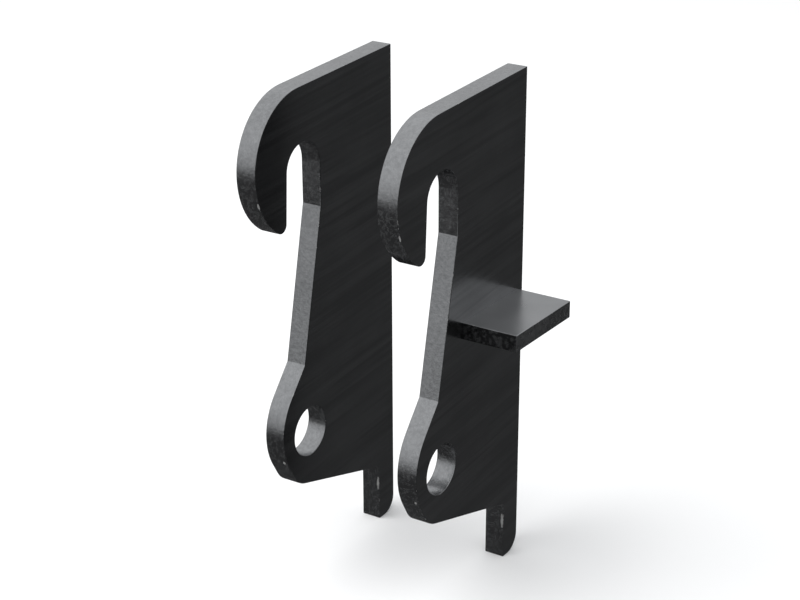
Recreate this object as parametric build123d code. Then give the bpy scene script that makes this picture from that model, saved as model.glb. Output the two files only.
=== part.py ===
from build123d import *
import os
from math import atan2, asin, acos, cos, sin, hypot, radians, tan

# Pair of weld-on hook-and-pin brackets for a loader's quick hitch.
# Units are millimetres. +X runs through the plates' thickness, -Y is the side
# of the hook's mouth, +Y is the straight edge that is welded on, +Z is up.
# The origin is the centre of the left bracket's hook seat, mid thickness.

# plates
PLATE_THK = 15.0          # hot-rolled plate thickness
PLATE_PITCH = 107.5       # left mid plane to right mid plane, as stored
REAR_Y = 103.0            # seat centre to the welded rear edge
TOP_REAR_Z = 61.5         # height of the rear top corner over the seat centre

# hook
SEAT_R = 18.0             # seat for a 35 mm cross bar
HOOK_R = 50.0             # outside of the hook
HOOK_CY = -1.5            # centre of the outside arc
HOOK_CZ = 5.5
MOUTH_LEAN = 3.0          # degrees the front wall of the mouth opens forward
TIP_R = 5.5               # rounding between the hook's tip and the mouth

# front edge between the hook and the pin eye
MOUTH_REAR_Z = -31.0      # lower end of the mouth's straight rear wall
WAIST_Y = -4.5            # where the front edge starts to flare to the eye
WAIST_Z = -139.0

# pin eye
PIN_R = 18.0              # hole for a 35 mm locking pin
PIN_DROP = 190.0          # seat centre down to the pin's centre
EYE_R = 44.5              # rounded front of the eye
EYE_CY = 13.5
EYE_CZ = -187.0
FACET_ANGLE = 30.0        # degrees from vertical of the flat under the eye
EYE_TOE_R = 20.0          # rounding into the sloping bottom edge
BOTTOM_ANGLE = 16.0       # degrees the bottom edge falls towards the rear
BOTTOM_Z0 = -230.0        # height of the bottom edge's line at Y = 0

# tail
TAIL_W = 19.0
TAIL_Z = -297.5
TAIL_R = 13.0

# flat bar on the outer face of the right bracket
TAB_LEN = 41.0            # how far it stands out
TAB_W = 72.0
TAB_THK = 12.0
TAB_FRONT_Y = 25.0
TAB_TOP_Z = -93.0

# fillet weld under the flat bar
WELD_LEG = 6.0
WELD_BULGE = 0.62         # reach of the bead's middle over its leg; 0.5 would be flat
WELD_END_GAP = 12.0       # weld stops this far from each end of the bar


def circle_point(cy, cz, r, angle):
    return (cy + r * cos(angle), cz + r * sin(angle))


def top_tangent():
    """Point where the top edge runs into the outside arc of the hook."""
    dy = HOOK_CY - REAR_Y
    dz = HOOK_CZ - TOP_REAR_Z
    dist = hypot(dy, dz)
    to_corner = atan2(-dz, -dy)
    return circle_point(HOOK_CY, HOOK_CZ, HOOK_R, to_corner + acos(HOOK_R / dist))


def mouth_front():
    """Top of the mouth's leaning front wall, the direction down it, and the way into the mouth."""
    lean = radians(MOUTH_LEAN)
    start = (-SEAT_R * cos(lean), SEAT_R * sin(lean))
    return start, (-sin(lean), -cos(lean)), (cos(lean), -sin(lean))


def tip_arc():
    """Start, middle and end of the tip's rounding, from the hook's outside to the mouth."""
    start, down, out = mouth_front()
    base = (start[0] - TIP_R * out[0], start[1] - TIP_R * out[1])
    fy = base[0] - HOOK_CY
    fz = base[1] - HOOK_CZ
    b = fy * down[0] + fz * down[1]
    c = fy * fy + fz * fz - (HOOK_R - TIP_R) ** 2
    s = -b + (b * b - c) ** 0.5
    centre = (base[0] + s * down[0], base[1] + s * down[1])
    on_wall = (centre[0] + TIP_R * out[0], centre[1] + TIP_R * out[1])
    angle = atan2(centre[1] - HOOK_CZ, centre[0] - HOOK_CY)
    on_hook = circle_point(HOOK_CY, HOOK_CZ, HOOK_R, angle)
    mid_y = (on_wall[0] + on_hook[0]) / 2 - centre[0]
    mid_z = (on_wall[1] + on_hook[1]) / 2 - centre[1]
    k = TIP_R / hypot(mid_y, mid_z)
    middle = (centre[0] + k * mid_y, centre[1] + k * mid_z)
    return on_hook, middle, on_wall


def eye_tangent():
    """Point where the flared front edge runs into the rounded eye."""
    dy = EYE_CY - WAIST_Y
    dz = EYE_CZ - WAIST_Z
    dist = hypot(dy, dz)
    heading = atan2(dz, dy) - asin(EYE_R / dist)
    run = (dist * dist - EYE_R * EYE_R) ** 0.5
    return (WAIST_Y + run * cos(heading), WAIST_Z + run * sin(heading))


def eye_toe():
    """End of the eye's arc, then the toe's rounding between flat and bottom edge."""
    facet = radians(FACET_ANGLE)
    fall = radians(BOTTOM_ANGLE)
    arc_end = (EYE_CY - EYE_R * cos(facet), EYE_CZ - EYE_R * sin(facet))
    rise = arc_end[1] - BOTTOM_Z0 + tan(fall) * arc_end[0]
    s = rise / (cos(facet) - sin(facet) * tan(fall))
    corner = (arc_end[0] + s * sin(facet), arc_end[1] - s * cos(facet))
    back = EYE_TOE_R * tan((radians(90.0) - facet - fall) / 2)
    on_facet = (corner[0] - back * sin(facet), corner[1] + back * cos(facet))
    on_bottom = (corner[0] + back * cos(fall), corner[1] - back * sin(fall))
    centre = (on_bottom[0] + EYE_TOE_R * sin(fall), on_bottom[1] + EYE_TOE_R * cos(fall))
    my = corner[0] - centre[0]
    mz = corner[1] - centre[1]
    k = EYE_TOE_R / hypot(my, mz)
    middle = (centre[0] + k * my, centre[1] + k * mz)
    return arc_end, on_facet, middle, on_bottom


def plate_outline():
    """Closed edge of one bracket, seen along X, with the pin hole left out."""
    top = top_tangent()
    on_hook, tip_mid, on_wall = tip_arc()
    wall_top = mouth_front()[0]
    eye_in = eye_tangent()
    arc_end, on_facet, toe_mid, on_bottom = eye_toe()
    tail_y = REAR_Y - TAIL_W
    notch_z = BOTTOM_Z0 - tan(radians(BOTTOM_ANGLE)) * tail_y
    round_y = REAR_Y - TAIL_R * (1 - cos(radians(45)))
    round_z = TAIL_Z + TAIL_R * (1 - sin(radians(45)))
    with BuildSketch(Plane.YZ) as sketch:
        with BuildLine():
            Line((REAR_Y, TOP_REAR_Z), top)
            ThreePointArc(top, (HOOK_CY - HOOK_R, HOOK_CZ), on_hook)
            ThreePointArc(on_hook, tip_mid, on_wall)
            Line(on_wall, wall_top)
            ThreePointArc(wall_top, (0, SEAT_R), (SEAT_R, 0))
            Line((SEAT_R, 0), (SEAT_R, MOUTH_REAR_Z))
            Line((SEAT_R, MOUTH_REAR_Z), (WAIST_Y, WAIST_Z))
            Line((WAIST_Y, WAIST_Z), eye_in)
            ThreePointArc(eye_in, (EYE_CY - EYE_R, EYE_CZ), arc_end)
            Line(arc_end, on_facet)
            ThreePointArc(on_facet, toe_mid, on_bottom)
            Line(on_bottom, (tail_y, notch_z))
            Line((tail_y, notch_z), (tail_y, TAIL_Z))
            Line((tail_y, TAIL_Z), (REAR_Y - TAIL_R, TAIL_Z))
            ThreePointArc((REAR_Y - TAIL_R, TAIL_Z), (round_y, round_z), (REAR_Y, TAIL_Z + TAIL_R))
            Line((REAR_Y, TAIL_Z + TAIL_R), (REAR_Y, TOP_REAR_Z))
        make_face()
        with Locations((0, -PIN_DROP)):
            Circle(PIN_R, mode=Mode.SUBTRACT)
    return sketch.sketch


def hook_plate(x_mid):
    """One flame-cut bracket centred on x_mid."""
    return Pos(x_mid, 0, 0) * extrude(plate_outline(), amount=PLATE_THK / 2, both=True)


def side_tab():
    """Flat bar standing straight out of the right bracket's outer face."""
    x0 = PLATE_PITCH + PLATE_THK / 2
    centre = (x0 + TAB_LEN / 2, TAB_FRONT_Y + TAB_W / 2, TAB_TOP_Z - TAB_THK / 2)
    return Pos(*centre) * Box(TAB_LEN, TAB_W, TAB_THK)


def tab_weld():
    """Slightly convex fillet weld in the corner under the flat bar."""
    x0 = PLATE_PITCH + PLATE_THK / 2
    z0 = TAB_TOP_Z - TAB_THK
    bulge = WELD_BULGE * WELD_LEG
    start = TAB_FRONT_Y + WELD_END_GAP
    with BuildSketch(Plane.XZ) as sketch:
        with BuildLine():
            Line((x0, z0), (x0, z0 - WELD_LEG))
            ThreePointArc((x0, z0 - WELD_LEG), (x0 + bulge, z0 - bulge), (x0 + WELD_LEG, z0))
            Line((x0 + WELD_LEG, z0), (x0, z0))
        make_face()
    bead = extrude(sketch.sketch, amount=-(TAB_W - 2 * WELD_END_GAP))
    return Pos(0, start, 0) * bead


def main():
    os.makedirs("parts", exist_ok=True)
    nodes = {
        "left_hook_plate": hook_plate(0.0),
        "right_hook_plate": hook_plate(PLATE_PITCH),
        "side_tab": side_tab(),
        "tab_weld": tab_weld(),
    }
    for name, solid in nodes.items():
        export_step(solid, "parts/" + name + ".step")
        box = solid.bounding_box()
        print(name, round(solid.volume, 1), box.min, box.max)


main()
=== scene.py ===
import math
import bmesh
import bpy
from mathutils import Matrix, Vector


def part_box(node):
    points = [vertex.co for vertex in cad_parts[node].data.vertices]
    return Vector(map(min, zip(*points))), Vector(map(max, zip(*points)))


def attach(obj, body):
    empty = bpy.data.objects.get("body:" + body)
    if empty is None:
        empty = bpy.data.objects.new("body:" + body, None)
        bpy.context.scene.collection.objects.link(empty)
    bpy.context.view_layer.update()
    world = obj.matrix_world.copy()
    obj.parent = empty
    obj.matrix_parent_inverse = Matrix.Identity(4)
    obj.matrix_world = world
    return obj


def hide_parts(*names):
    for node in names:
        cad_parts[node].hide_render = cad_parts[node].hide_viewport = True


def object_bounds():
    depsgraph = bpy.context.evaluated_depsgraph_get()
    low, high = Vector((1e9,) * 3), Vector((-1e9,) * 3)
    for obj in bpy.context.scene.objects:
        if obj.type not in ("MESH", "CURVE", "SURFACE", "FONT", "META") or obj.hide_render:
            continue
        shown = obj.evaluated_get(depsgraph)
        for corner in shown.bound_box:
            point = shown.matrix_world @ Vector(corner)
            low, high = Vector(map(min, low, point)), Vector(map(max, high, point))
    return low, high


# A pair of weld-on hook-and-pin brackets, cut from dark rolled plate.
# Metres, in the CAD part's frame: +X through the plates, -Y the hooks' mouths, +Z up.

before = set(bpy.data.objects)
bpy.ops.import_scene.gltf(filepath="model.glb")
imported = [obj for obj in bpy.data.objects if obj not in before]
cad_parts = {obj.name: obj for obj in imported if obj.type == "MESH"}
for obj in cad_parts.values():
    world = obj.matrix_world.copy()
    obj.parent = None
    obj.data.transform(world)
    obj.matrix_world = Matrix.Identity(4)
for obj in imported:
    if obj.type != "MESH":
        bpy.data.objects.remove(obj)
cad_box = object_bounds()

# ---------------------------------------------------------------- sizes and settings

SENSOR = 36.0
LENS = 83.2
SHIFT = (-0.075, 0.075)
CAMERA_AT = (0.69847, -0.92882, 0.37351)
CAMERA_TURN = (66.192, -0.514, 31.761)
CAMERA_REACH = 50.0

SKY = (  # height above the tilted horizon, brightness of the surroundings there
    (-1.00, 0.064), (-0.33, 0.064), (-0.24, 0.063), (-0.15, 0.058),
    (-0.05, 0.112), (0.05, 0.325), (0.11, 0.555), (0.16, 0.645),
    (0.24, 0.695), (0.34, 0.780), (0.40, 0.830), (0.47, 0.880),
    (0.53, 0.910), (0.62, 0.940), (0.80, 0.950), (1.00, 0.920),
)
SKY_TILT = (-0.11, -0.166, 1.0)   # the bright half leans to the front left
SKY_TINT = (0.990, 1.000, 1.012)  # faintly blue

FLOOR_REACH = 10.0
BACKDROP_RADIUS = 9.0
BACKDROP_GLOW = (0.97, 0.975, 0.98)

KEY_AT = (-1.3, -1.5, 2.4)
KEY_AIM = (0.05, 0.0, -0.2)
KEY_SIZE = 3.2
KEY_POWER = 84.0

PLATE_THICK = 0.015
ARRIS = 0.0005                     # break on the edges of plate and bar
ARRIS_FROM = math.radians(22.0)    # edges that turn less than this aren't broken
CREASE_FROM = math.radians(3.0)    # CAD surfaces that meet at less than this run on smoothly
FLAT_WITHIN = math.radians(0.3)    # faces that turn less than this are joined
SAME_POINT = 1e-6                  # corners nearer than this are joined
SAME_PLANE = 1e-5                  # corners nearer than this to the plate's face lie on it

# Painted glints beside the right arris: small pale, less metallic spots that stand in for glints. For
# each, the centre's depth from the plate's left face, its Y and its Z, and then the half sizes along
# the same three.
PAINTED_GLINTS = (
    ((0.0143, -0.0475, -0.0125), (0.0008, 0.0032, 0.0032)),   # hook's nose
    ((0.0124, -0.0277, -0.2040), (0.0011, 0.0020, 0.0015)),   # under the eye's front
    ((0.0137, 0.0820, -0.2680), (0.0014, 0.0100, 0.0070)),    # front of the tail
)

BEAD_RINGS = 150
BEAD_POINTS = 14           # around the bead's face
BEAD_FILL = 0.93           # share of the leg that the bead reaches
BEAD_FLATTEN = 0.14        # how much less it reaches midway between the legs
BEAD_WANDER = ((0.024, 310.0, 0.0), (0.018, 137.0, 1.0))   # size, rate and start of slow waves
BEAD_END_RUN = 0.9         # legs' lengths over which an end comes up to full size
BEAD_END_SHARE = 0.25      # size of the very end
RIPPLE_PITCH = 0.0024
RIPPLE_HEIGHT = 0.00022
RIPPLE_TRAIL = 0.0022      # how far a crescent ripple trails at the toes

# noise patterns: repeats per metre along X, Y and Z, detail, roughness, shift
FINE_STREAKS = ((12.0, 8.0, 340.0), 3.0, 0.6)
RUB_STREAKS = ((14.0, 8.0, 260.0), 1.0, 0.5, (4.4, 2.9, 0.6))
WIDE_STREAKS = ((6.0, 4.0, 95.0), 2.0, 0.5, (3.1, 0.7, 1.9))
CLOUDS = ((22.0, 22.0, 22.0), 4.0, 0.6, (5.2, 1.3, 8.8))
CUT_GRAIN = ((520.0, 520.0, 520.0), 4.0, 0.72)
CUT_DRAG = ((40.0, 900.0, 900.0), 1.0, 0.5, (0.4, 2.2, 6.1))
CUT_PITS = ((310.0, 310.0, 310.0), 1.0, 0.4, (7.7, 3.3, 2.6))
CHIPS_AND_GLINTS = ((130.0, 130.0, 130.0), 3.0, 0.65, (1.7, 9.4, 4.5))
SPECKS = ((380.0, 380.0, 380.0), 2.0, 0.6, (6.2, 0.9, 3.7))
RAGGED = ((420.0, 420.0, 420.0), 2.0, 0.6, (8.1, 4.6, 1.2))
BEAD_CLOUDS = ((90.0, 90.0, 90.0), 4.0, 0.6)
BEAD_GRAIN = ((900.0, 900.0, 900.0), 2.0, 0.6, (2.0, 5.0, 1.0))
BEAD_RIPPLES = ((60.0, 1500.0, 60.0), 1.0, 0.5)
PAPER_FIBRES = ((9.0, 9.0, 9.0), 3.0, 0.5)

# where a value starts to count, and where it counts in full
FACING = (0.75, 0.97)      # how squarely a surface faces an axis
RIM = (0.88, 0.975)        # nearness to an arris, 0 in mid thickness and 1 on the arris
RUBBED = (0.54, 0.64)
CHIP_AND_GLINT_RANGE = (0.61, 0.67)
DUSTY = (0.44, 0.62)
PALE = (0.32, 0.68)        # tone of the plate and bar
BEAD_PALE = (0.3, 0.7)
GLINT_FADE = (0.5, 1.0)        # distance from a painted glint's centre, in half sizes

STREAK_SHARES = (0.45, 0.55)       # fine and wide streaks
SAWN_SHARES = (0.65, 0.35)         # grain and pits of the cut edges
TONE_SHARES = (0.70, 0.30)         # pattern and clouds
RAGGED_BY = 0.90           # how far a painted glint's edge wanders, in half sizes
RUB_DARKER = -0.10         # tone of the rubbed streaks
DUST_DULLS = 0.052         # metal look lost under dust, worn chips and painted glints
WEAR_AND_GLINT_DULLS = 0.20
GLINT_DULLS = 0.22
WEAR_AND_GLINT_SHARE = 0.7           # share of the worn colour on the chips and the painted glints
WEAR_AND_GLINT_ROUGHER = 0.10
SHINE_SPREAD = 0.22        # change of roughness from dark to light tone
TORN_SHARE = 0.97          # share of the sheared colour, and how much less on specks
TORN_SPECK = -0.25
DRAG_HEIGHT = 0.05
STREAK_HEIGHT = 0.22
STEEL_RELIEF = 0.00019
BEAD_RELIEF = 0.00008
BEAD_GRAIN_SHARE = 0.5     # height of the grain beside the ripples
BEAD_ROUGH = 0.26
BEAD_ROUGHER = 0.25        # added to that in the pale clouds

# pale colour of the worn chips and of the painted glints
WORN_AND_GLINT_COLOUR = (0.46, 0.455, 0.445)
TORN_COLOUR = (0.055, 0.056, 0.058)
PLATE_DARK = (0.250, 0.254, 0.260)
PLATE_LIGHT = (0.350, 0.355, 0.362)
PLATE_ROUGH = 0.22
PLATE_LAY = 5.0            # degrees that the plate's streaks are turned about X
BAR_DARK = (0.250, 0.254, 0.261)
BAR_LIGHT = (0.350, 0.355, 0.362)
BAR_ROUGH = 0.28
BEAD_DARK = (0.17, 0.172, 0.178)
BEAD_LIGHT = (0.31, 0.31, 0.315)
PAPER_DARK = (0.90, 0.90, 0.90)
PAPER_LIGHT = (0.92, 0.92, 0.92)


# ---------------------------------------------------------------- node helpers

class Shader:
    """Small helper that adds and links the nodes of one material."""

    def __init__(self, name):
        self.material = bpy.data.materials.new(name)
        self.material.use_nodes = True
        self.tree = self.material.node_tree
        self.bsdf = self.tree.nodes["Principled BSDF"]
        self.coords = self.tree.nodes.new("ShaderNodeTexCoord")

    def node(self, kind, inputs, **settings):
        """A new node with its settings, whose inputs are numbers or other nodes' outputs."""
        n = self.tree.nodes.new(kind)
        for key, value in settings.items():
            setattr(n, key, value)
        for key, value in inputs.items():
            self.feed(n.inputs[key], value)
        return n

    def feed(self, socket, value):
        if isinstance(value, bpy.types.NodeSocket):
            self.tree.links.new(value, socket)
        else:
            socket.default_value = value

    def surface(self, **inputs):
        """Feeds the shader's own sockets. Their names are written with _ for a space."""
        for key, value in inputs.items():
            self.feed(self.bsdf.inputs[key.replace("_", " ")], value)

    def math(self, operation, a, b=0.0, c=0.0, clamp=False):
        n = self.node("ShaderNodeMath", {0: a, 1: b, 2: c}, operation=operation, use_clamp=clamp)
        return n.outputs[0]

    def vector(self, operation, a, b=(0.0, 0.0, 0.0)):
        n = self.node("ShaderNodeVectorMath", {0: a, 1: b}, operation=operation)
        return n.outputs["Value" if operation == "LENGTH" else "Vector"]

    def split(self, vector):
        return self.node("ShaderNodeSeparateXYZ", {0: vector}).outputs

    def span(self, value, low, high):
        """0 up to low, 1 from high on, with soft ends."""
        n = self.node("ShaderNodeMapRange", {0: value, 1: low, 2: high},
                      interpolation_type="SMOOTHSTEP")
        return n.outputs[0]

    def noise(self, scale, detail, roughness, shift=(0.0, 0.0, 0.0), lay=0.0):
        """Noise with its own frequency along X, Y and Z, first turned lay degrees about X."""
        turned = self.node("ShaderNodeVectorRotate",
                           {"Vector": self.coords.outputs["Object"], "Angle": math.radians(-lay)},
                           rotation_type="X_AXIS")
        place = self.node("ShaderNodeMapping",
                          {"Vector": turned.outputs[0], "Location": shift, "Scale": scale})
        n = self.node("ShaderNodeTexNoise",
                      {"Vector": place.outputs[0], "Scale": 1.0,
                       "Detail": detail, "Roughness": roughness})
        return n.outputs["Fac"]

    def mix(self, factor, a, b):
        n = self.node("ShaderNodeMix", {0: factor, 2: a, 3: b}, data_type="FLOAT")
        return n.outputs[0]

    def colour(self, factor, first, second):
        """Between two colours. The first may be another node's output."""
        if not isinstance(first, bpy.types.NodeSocket):
            first = (*first, 1.0)
        n = self.node("ShaderNodeMix", {0: factor, 6: first, 7: (*second, 1.0)}, data_type="RGBA")
        return n.outputs[2]

    def relief(self, height, distance):
        bump = self.node("ShaderNodeBump",
                         {"Strength": 1.0, "Distance": distance, "Height": height})
        return bump.outputs[0]


# ---------------------------------------------------------------- materials

def glint_mask(s, through):
    """1 in the painted glints, pale spots that stand in for glints, 0 elsewhere, with ragged edges.
    through is the place in the thickness, 0 on the plate's left face and 1 on the right one."""
    at = s.split(s.coords.outputs["Object"])
    depth = s.math("MULTIPLY", through, PLATE_THICK)
    here = s.node("ShaderNodeCombineXYZ", {0: depth, 1: at[1], 2: at[2]}).outputs[0]
    ragged = s.math("MULTIPLY_ADD", s.noise(*RAGGED), RAGGED_BY, -0.5 * RAGGED_BY)
    found = 0.0
    for centre, half_size in PAINTED_GLINTS:
        away = s.vector("DIVIDE", s.vector("SUBTRACT", here, centre), half_size)
        far = s.math("ADD", s.vector("LENGTH", away), ragged)
        found = s.math("MAXIMUM", found, s.math("SUBTRACT", 1.0, s.span(far, *GLINT_FADE)))
    return found


def steel(name, axis, dark, light, rough, lay=0.0, sheared=None, painted_glints=False):
    """Dark rolled steel: streaked mill surface on the broad faces, mottled grain where it was cut.
    axis is the one through the thickness. sheared is the axis whose end faces are dull and dark.
    The last argument adds the painted glints: pale, less metallic spots beside the plate's right arris
    that stand in for glints."""
    s = Shader(name)
    normal = s.split(s.coords.outputs["Normal"])
    broad = s.span(s.math("ABSOLUTE", normal[axis]), *FACING)
    cut = s.math("SUBTRACT", 1.0, broad)
    through = s.split(s.coords.outputs["Generated"])[axis]
    off_mid = s.math("ABSOLUTE", s.math("MULTIPLY_ADD", through, 2.0, -1.0))

    # tone of the coat
    fine, wide = STREAK_SHARES
    rolled = s.math("MULTIPLY_ADD", s.noise(*FINE_STREAKS, lay=lay), fine,
                    s.math("MULTIPLY", s.noise(*WIDE_STREAKS, lay=lay), wide))
    grain, pits = SAWN_SHARES
    sawn = s.math("MULTIPLY_ADD", s.noise(*CUT_GRAIN), grain,
                  s.math("MULTIPLY", s.noise(*CUT_PITS), pits))
    pattern, clouds = TONE_SHARES
    tone = s.math("MULTIPLY_ADD", s.noise(*CLOUDS), clouds,
                  s.math("MULTIPLY", s.mix(broad, sawn, rolled), pattern))
    rubbed = s.math("MULTIPLY", s.span(s.noise(*RUB_STREAKS, lay=lay), *RUBBED), broad)
    tone = s.math("MULTIPLY_ADD", rubbed, RUB_DARKER, tone)

    # wear, dust and painted glints on the cut edges
    # worn chips on the arrises, pale and less metallic: partly real wear, partly painted glints
    chips_and_glints = s.span(s.noise(*CHIPS_AND_GLINTS), *CHIP_AND_GLINT_RANGE)
    rim = s.span(off_mid, *RIM)
    wear_and_glints = s.math("MULTIPLY", s.math("MULTIPLY", rim, chips_and_glints), cut)
    speck = s.span(s.noise(*SPECKS), *DUSTY)
    dulled = s.math("MULTIPLY", s.math("MULTIPLY", speck, DUST_DULLS), cut)
    # painted glints: pale, less metallic spots that stand in for glints
    if painted_glints:
        glint = s.math("MULTIPLY", glint_mask(s, through), cut)
        wear_and_glints = s.math("MAXIMUM", wear_and_glints, glint)
        dulled = s.math("MULTIPLY_ADD", glint, GLINT_DULLS, dulled)
    metal = s.math("SUBTRACT", s.math("SUBTRACT", 1.0, dulled),
                   s.math("MULTIPLY", wear_and_glints, WEAR_AND_GLINT_DULLS), clamp=True)

    skin = s.colour(s.span(tone, *PALE), dark, light)
    # worn colour on the chips, and painted highlight on the glints
    skin = s.colour(s.math("MULTIPLY", wear_and_glints, WEAR_AND_GLINT_SHARE), skin, WORN_AND_GLINT_COLOUR)
    if sheared is not None:
        torn = s.span(s.math("ABSOLUTE", normal[sheared]), *FACING)
        torn = s.math("MULTIPLY", torn, s.math("MULTIPLY_ADD", speck, TORN_SPECK, TORN_SHARE))
        skin = s.colour(torn, skin, TORN_COLOUR)

    shine = s.math("MULTIPLY_ADD", s.math("SUBTRACT", tone, 0.5), SHINE_SPREAD, rough)
    shine = s.math("MULTIPLY_ADD", wear_and_glints, WEAR_AND_GLINT_ROUGHER, shine, clamp=True)

    cut_height = s.math("MULTIPLY_ADD", s.noise(*CUT_DRAG), DRAG_HEIGHT, sawn)
    height = s.mix(broad, cut_height, s.math("MULTIPLY", rolled, STREAK_HEIGHT))
    s.surface(Metallic=metal, Base_Color=skin, Roughness=shine,
              Normal=s.relief(height, STEEL_RELIEF))
    return s.material


def weld_metal(name):
    """Coated weld metal: duller and more uneven than the plate, with fine ripples."""
    s = Shader(name)
    cloud = s.noise(*BEAD_CLOUDS)
    height = s.math("MULTIPLY_ADD", s.noise(*BEAD_GRAIN), BEAD_GRAIN_SHARE,
                    s.noise(*BEAD_RIPPLES))
    s.surface(Metallic=1.0,
              Base_Color=s.colour(s.span(cloud, *BEAD_PALE), BEAD_DARK, BEAD_LIGHT),
              Roughness=s.math("MULTIPLY_ADD", cloud, BEAD_ROUGHER, BEAD_ROUGH),
              Normal=s.relief(height, BEAD_RELIEF))
    return s.material


def floor_paper():
    """Matt white studio paper."""
    s = Shader("floor_paper")
    s.surface(Base_Color=s.colour(s.noise(*PAPER_FIBRES), PAPER_DARK, PAPER_LIGHT),
              Roughness=0.9, Specular_IOR_Level=0.1)
    return s.material


def backdrop_paper():
    """Paper that is equally pale all over, whatever light falls on it."""
    s = Shader("backdrop_paper")
    s.surface(Base_Color=(0.0, 0.0, 0.0, 1.0), Specular_IOR_Level=0.0,
              Emission_Color=(*BACKDROP_GLOW, 1.0), Emission_Strength=1.0)
    return s.material


# ---------------------------------------------------------------- pieces

def to_mesh(shape, name):
    """Ends the work on a bmesh and returns it as mesh data."""
    data = bpy.data.meshes.new(name)
    shape.to_mesh(data)
    shape.free()
    return data


def add_object(data, name):
    obj = bpy.data.objects.new(name, data)
    bpy.context.scene.collection.objects.link(obj)
    return obj


def stand_for(obj, node, body):
    """Shows the object in place of the CAD node, on its body."""
    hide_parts(node)
    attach(obj, body)


def break_arrises(obj):
    """Rounds the marked edges a little and keeps the faces between them flat."""
    bevel = obj.modifiers.new("arris", "BEVEL")
    bevel.width = ARRIS
    bevel.segments = 3
    bevel.limit_method = "WEIGHT"
    bevel.use_clamp_overlap = True
    bevel.miter_outer = "MITER_ARC"
    weighted = obj.modifiers.new("flat_faces", "WEIGHTED_NORMAL")
    weighted.mode = "FACE_AREA"
    weighted.weight = 90
    weighted.keep_sharp = True


def is_crease(edge, corner):
    """True where the CAD surfaces on the two sides of an edge don't run into each other smoothly."""
    if len(edge.link_loops) != 2:
        return True
    first, second = edge.link_loops
    pairs = ((first, second.link_loop_next), (first.link_loop_next, second))
    return any(a[corner].angle(b[corner], 0.0) > CREASE_FROM for a, b in pairs)


def from_cad(node, name, body, material, against_plate=False):
    """The node's own shape as one joined skin, whose arrises are then broken, but not where it is
    butted against the plate."""
    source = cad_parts[node].data
    skin = bmesh.new()
    skin.from_mesh(source)
    skin.faces.ensure_lookup_table()
    corner = skin.loops.layers.float_vector.new("cad_normal")
    for face, polygon in zip(skin.faces, source.polygons):
        for loop, index in zip(face.loops, polygon.loop_indices):
            loop[corner] = source.corner_normals[index].vector
    bmesh.ops.remove_doubles(skin, verts=skin.verts, dist=SAME_POINT)
    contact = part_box(node)[0].x if against_plate else None
    broken = skin.edges.layers.float.new("bevel_weight_edge")
    for edge in skin.edges:
        edge.smooth = not is_crease(edge, corner)
        hidden = contact is not None and all(abs(v.co.x - contact) < SAME_PLANE for v in edge.verts)
        edge[broken] = float(not hidden and edge.calc_face_angle(0.0) > ARRIS_FROM)
    skin.loops.layers.float_vector.remove(corner)
    bmesh.ops.dissolve_limit(skin, angle_limit=FLAT_WITHIN, verts=skin.verts, edges=skin.edges)
    bmesh.ops.recalc_face_normals(skin, faces=skin.faces)
    data = to_mesh(skin, name)
    for polygon in data.polygons:
        polygon.use_smooth = True
    data.materials.append(material)
    obj = add_object(data, name)
    break_arrises(obj)
    stand_for(obj, node, body)


def bead_reach(leg, y, across, taper):
    """Distance of the bead's face from the corner. across goes from 0 on the plate to 1 on the bar."""
    # crescent ripples trail towards the toes
    trail = RIPPLE_TRAIL * (2.0 * across - 1.0) ** 2
    phase = ((y + trail) / RIPPLE_PITCH) % 1.0
    ripple = RIPPLE_HEIGHT * (1.0 - phase) ** 2 * math.sin(math.pi * across)
    fill = BEAD_FILL + sum(size * math.sin(y * rate + start) for size, rate, start in BEAD_WANDER)
    reach = leg * (1.0 - BEAD_FLATTEN * math.sin(math.pi * across)) * fill
    return min(reach + ripple, leg) * (BEAD_END_SHARE + (1.0 - BEAD_END_SHARE) * taper)


def weld_bead(node, name, body, material):
    """Convex fillet of overlapping ripples, thinner at its start and stop."""
    low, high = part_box(node)
    leg = high.x - low.x
    length = high.y - low.y
    bead = bmesh.new()
    loops = []
    for i in range(BEAD_RINGS + 1):
        share = i / BEAD_RINGS
        y = low.y + share * length
        from_end = min(share, 1.0 - share) * length / (BEAD_END_RUN * leg)
        taper = math.sqrt(1.0 - (1.0 - min(1.0, from_end)) ** 2)
        loop = []
        for j in range(BEAD_POINTS + 1):
            across = j / BEAD_POINTS
            angle = math.radians(90.0) * across
            reach = bead_reach(leg, y, across, taper)
            loop.append(bead.verts.new((low.x + reach * math.sin(angle), y,
                                        high.z - reach * math.cos(angle))))
        loop.append(bead.verts.new((low.x, y, high.z)))
        loops.append(loop)
    count = BEAD_POINTS + 2
    for a, b in zip(loops, loops[1:]):
        for j in range(count):
            k = (j + 1) % count
            bead.faces.new((a[j], a[k], b[k], b[j]))
    bead.faces.new(loops[0])
    bead.faces.new(list(reversed(loops[-1])))
    bmesh.ops.recalc_face_normals(bead, faces=bead.faces)
    data = to_mesh(bead, name)
    for polygon in data.polygons:
        polygon.use_smooth = len(polygon.vertices) == 4
    data.materials.append(material)
    stand_for(add_object(data, name), node, body)


# ---------------------------------------------------------------- studio

def add_camera():
    data = bpy.data.cameras.new("camera")
    data.sensor_width = SENSOR
    data.lens = LENS
    data.shift_x, data.shift_y = SHIFT
    data.clip_end = CAMERA_REACH
    camera = add_object(data, "camera")
    camera.location = CAMERA_AT
    camera.rotation_euler = [math.radians(a) for a in CAMERA_TURN]
    bpy.context.scene.camera = camera


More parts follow.
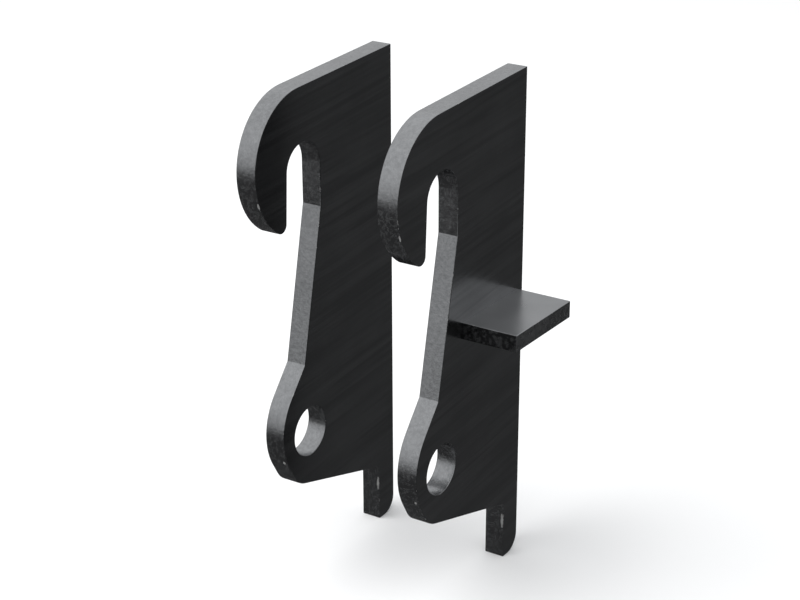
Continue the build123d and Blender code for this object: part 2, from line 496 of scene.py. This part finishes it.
def add_world():
    """Bright soft surroundings above, dark below, with a gradual horizon."""
    world = bpy.data.worlds.new("studio")
    bpy.context.scene.world = world
    world.use_nodes = True
    tree = world.node_tree
    coords = tree.nodes.new("ShaderNodeTexCoord")
    height = tree.nodes.new("ShaderNodeVectorMath")
    height.operation = "DOT_PRODUCT"
    height.inputs[1].default_value = SKY_TILT
    half = tree.nodes.new("ShaderNodeMath")
    half.operation = "MULTIPLY_ADD"
    half.inputs[1].default_value = 0.5
    half.inputs[2].default_value = 0.5
    ramp = tree.nodes.new("ShaderNodeValToRGB")
    tree.links.new(coords.outputs["Generated"], height.inputs[0])
    tree.links.new(height.outputs["Value"], half.inputs[0])
    tree.links.new(half.outputs[0], ramp.inputs[0])
    tree.links.new(ramp.outputs[0], tree.nodes["Background"].inputs["Color"])
    stops = ramp.color_ramp.elements
    while len(stops) > 1:
        stops.remove(stops[-1])
    for i, (level, brightness) in enumerate(SKY):
        position = 0.5 + 0.5 * level
        stop = stops[0] if i == 0 else stops.new(position)
        stop.position = position
        stop.color = (*(brightness * part for part in SKY_TINT), 1.0)


def add_floor(z):
    corners = [(-FLOOR_REACH, -FLOOR_REACH, z), (FLOOR_REACH, -FLOOR_REACH, z),
               (FLOOR_REACH, FLOOR_REACH, z), (-FLOOR_REACH, FLOOR_REACH, z)]
    data = bpy.data.meshes.new("floor")
    data.from_pydata(corners, [], [(0, 1, 2, 3)])
    data.materials.append(floor_paper())
    floor = add_object(data, "floor")
    floor.visible_glossy = False


def add_backdrop(z):
    """Pale surround behind the floor's far edge. Only the camera sees it."""
    shell = bmesh.new()
    bmesh.ops.create_uvsphere(shell, u_segments=64, v_segments=32, radius=BACKDROP_RADIUS)
    data = to_mesh(shell, "backdrop")
    data.materials.append(backdrop_paper())
    backdrop = add_object(data, "backdrop")
    backdrop.location = (0.0, 0.0, z)
    for ray in ("diffuse", "glossy", "transmission", "volume_scatter", "shadow"):
        setattr(backdrop, "visible_" + ray, False)


def add_key():
    """Large soft light from the front left. It lights the floor and isn't seen in the steel."""
    data = bpy.data.lights.new("key", "AREA")
    data.shape = "SQUARE"
    data.size = KEY_SIZE
    data.energy = KEY_POWER
    key = add_object(data, "key")
    key.location = KEY_AT
    aim = Vector(KEY_AIM) - Vector(KEY_AT)
    key.rotation_euler = aim.to_track_quat("-Z", "Y").to_euler()
    key.visible_glossy = False


bpy.context.scene.view_settings.view_transform = "Standard"
add_camera()
add_world()
add_floor(cad_box[0].z)
add_backdrop(cad_box[0].z)
add_key()

plate = steel("black_plate_mill", 0, PLATE_DARK, PLATE_LIGHT, PLATE_ROUGH, lay=PLATE_LAY, painted_glints=True)
bar = steel("black_bar_mill", 2, BAR_DARK, BAR_LIGHT, BAR_ROUGH, sheared=1)
bead = weld_metal("weld_bead_coat")

from_cad("left_hook_plate", "left_hook_plate_skin", "left_bracket", plate)
from_cad("right_hook_plate", "right_hook_plate_skin", "right_bracket", plate)
from_cad("side_tab", "side_tab_skin", "right_bracket", bar, against_plate=True)
weld_bead("tab_weld", "tab_weld_ripples", "right_bracket", bead)
